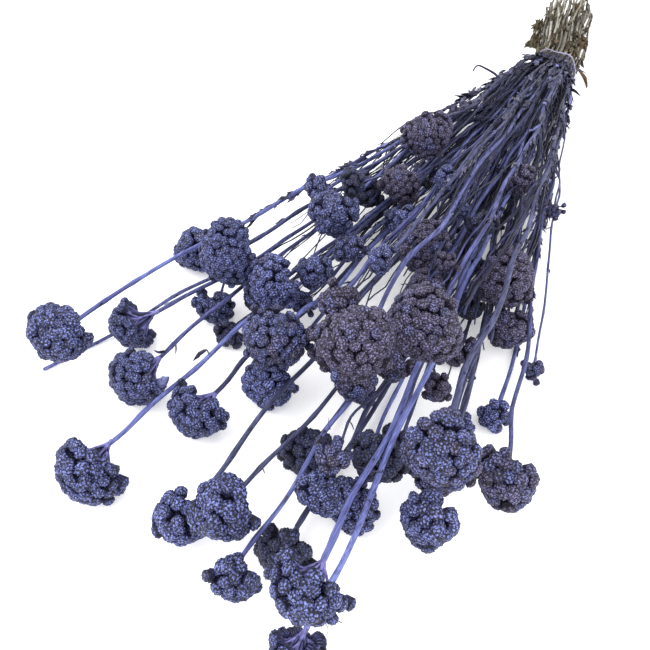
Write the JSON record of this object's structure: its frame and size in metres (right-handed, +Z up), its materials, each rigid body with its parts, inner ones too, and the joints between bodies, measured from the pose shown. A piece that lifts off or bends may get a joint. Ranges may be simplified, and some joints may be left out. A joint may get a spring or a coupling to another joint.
{
  "type": "dried flower bunch",
  "caption": "Tied bunch of dried golden ageratum dyed violet: stiff stalks fan out from a narrow band to domed clusters of small buttons.",
  "frame": {"origin": "middle of the bounding box in X and Y, on the plane that the bunch lies on", "axes": "+X along the bunch from the cut ends through the band to the flowers, +Z up from the plane it lies on"},
  "size_m": [0.7718, 0.3104, 0.1235],
  "materials": {
    "dyed_plant": "matt dried plant, dyed violet-blue as far as the band, straw and brown beyond it",
    "band": "matt"
  },
  "bodies": {
    "root": {"stalk_01": "dyed_plant", "stalk_02": "dyed_plant", "stalk_03": "dyed_plant", "stalk_04": "dyed_plant", "stalk_05": "dyed_plant", "stalk_06": "dyed_plant", "stalk_07": "dyed_plant", "stalk_08": "dyed_plant", "stalk_09": "dyed_plant", "stalk_10": "dyed_plant", "stalk_11": "dyed_plant", "stalk_12": "dyed_plant", "stalk_13": "dyed_plant", "stalk_14": "dyed_plant", "stalk_15": "dyed_plant", "stalk_16": "dyed_plant", "stalk_17": "dyed_plant", "stalk_18": "dyed_plant", "stalk_19": "dyed_plant", "stalk_20": "dyed_plant", "stalk_21": "dyed_plant", "stalk_22": "dyed_plant", "stalk_23": "dyed_plant", "stalk_24": "dyed_plant", "stalk_25": "dyed_plant", "stalk_26": "dyed_plant", "stalk_27": "dyed_plant", "stalk_28": "dyed_plant", "stalk_29": "dyed_plant", "stalk_30": "dyed_plant", "stalk_31": "dyed_plant", "stalk_32": "dyed_plant", "stalk_33": "dyed_plant", "stalk_34": "dyed_plant", "stalk_35": "dyed_plant", "stalk_36": "dyed_plant", "stalk_37": "dyed_plant", "stalk_38": "dyed_plant", "stalk_39": "dyed_plant", "stalk_40": "dyed_plant", "stalk_41": "dyed_plant", "stalk_42": "dyed_plant", "stalk_43": "dyed_plant", "stalk_44": "dyed_plant", "stalk_45": "dyed_plant", "stalk_46": "dyed_plant", "stalk_47": "dyed_plant", "stalk_48": "dyed_plant", "stalk_49": "dyed_plant", "stalk_50": "dyed_plant", "stalk_51": "dyed_plant", "stalk_52": "dyed_plant", "stalk_53": "dyed_plant", "band": "band"}
  },
  "joints": []
}
